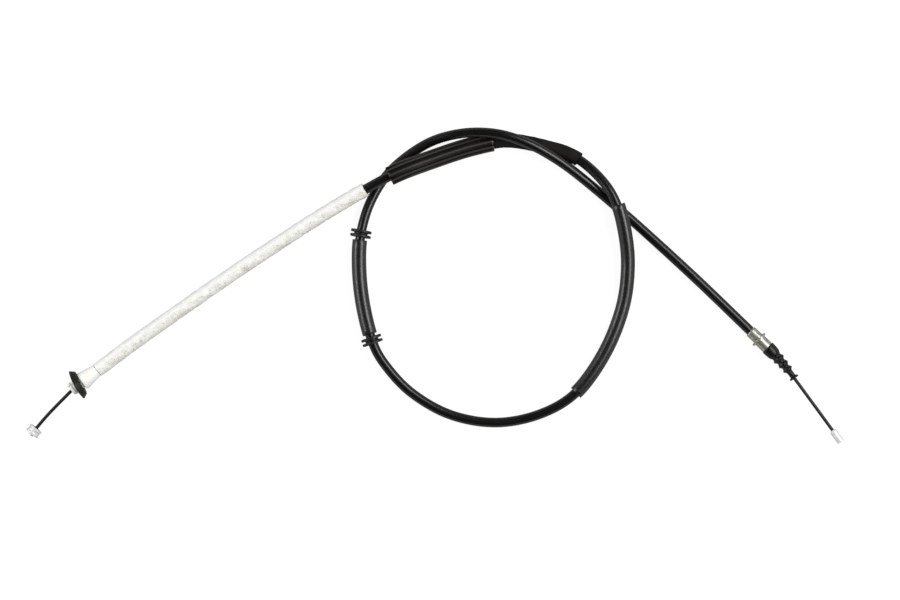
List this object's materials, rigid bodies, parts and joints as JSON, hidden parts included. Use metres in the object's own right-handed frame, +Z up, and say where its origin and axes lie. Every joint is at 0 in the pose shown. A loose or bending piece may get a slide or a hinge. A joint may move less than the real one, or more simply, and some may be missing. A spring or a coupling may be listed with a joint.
{
  "type": "parking brake cable",
  "caption": "Sheathed wire cable laid in one overlapping loop, with a snap-in socket and seal at one end, a ferrule and bellows at the other, nipples, guards and grommets.",
  "frame": {"origin": "centre of the footprint, on the surface that the cable lies on", "axes": "+X along the longest extent, from the front nipple's side to the rear nipple's, +Y away from the two cable ends, +Z up"},
  "size_m": [0.668, 0.2582, 0.0255],
  "materials": {
    "jacket": "semi-gloss black extruded sheath",
    "winding": "flat wire winding",
    "liner": "white slippery liner",
    "wire": "black coated strand",
    "nylon": "cream nylon",
    "rubber": "moulded black rubber",
    "foil": "crinkled aluminised heat sleeve",
    "ribbed_guard": "semi-gloss black, lengthwise ribs",
    "soft_guard": "matt dark grey foam rubber",
    "guard": "smooth semi-gloss black tube",
    "zinc": "bright zinc plate"
  },
  "bodies": {
    "casing": {"outer_jacket": "jacket", "steel_winding": "winding", "inner_liner": "liner", "core_wire": "wire", "front_socket": "nylon", "front_seal": "rubber", "heat_shield": "foil", "ribbed_guard": "ribbed_guard", "upper_guard": "soft_guard", "right_guard": "guard", "left_guard": "guard", "upper_grommet": "rubber", "lower_grommet": "rubber", "rear_ferrule": "zinc", "rear_boot": "rubber"},
    "front_end": {"front_wire": "wire", "front_nipple": "zinc"},
    "rear_end": {"rear_wire": "wire", "rear_nipple": "zinc"}
  },
  "joints": [
    {"name": "front_pull", "type": "slide", "parent": "casing", "child": "front_end", "axis": [-0.8012, -0.5984, 0], "range_m": [-0.006, 0.018]},
    {"name": "rear_pull", "type": "slide", "parent": "casing", "child": "rear_end", "axis": [0.5912, -0.8065, 0], "range_m": [-0.018, 0.006]}
  ],
  "couplings": [
    {"joint": "rear_pull", "follows": "front_pull", "ratio": -1}
  ]
}
